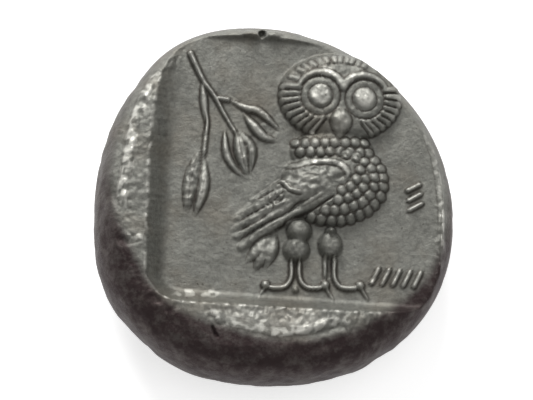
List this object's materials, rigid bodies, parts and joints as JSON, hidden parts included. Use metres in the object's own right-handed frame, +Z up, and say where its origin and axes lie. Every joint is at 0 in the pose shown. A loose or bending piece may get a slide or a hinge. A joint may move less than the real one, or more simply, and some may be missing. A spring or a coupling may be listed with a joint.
{
  "type": "tetradrachm coin",
  "caption": "Thick hand-struck archaic silver coin lying flat: an owl and an olive sprig in a sunk square on top, a worn helmeted head underneath.",
  "frame": {"origin": "on the surface that the coin lies on, under the middle of its outline", "axes": "+Z up out of the owl side, +Y towards the owl's head, +X towards the owl's breast"},
  "size_m": [0.0226, 0.0229, 0.0063],
  "materials": {
    "silver": "worn toned silver, dark in the hollows"
  },
  "bodies": {
    "root": {"coin": "silver"}
  },
  "joints": []
}
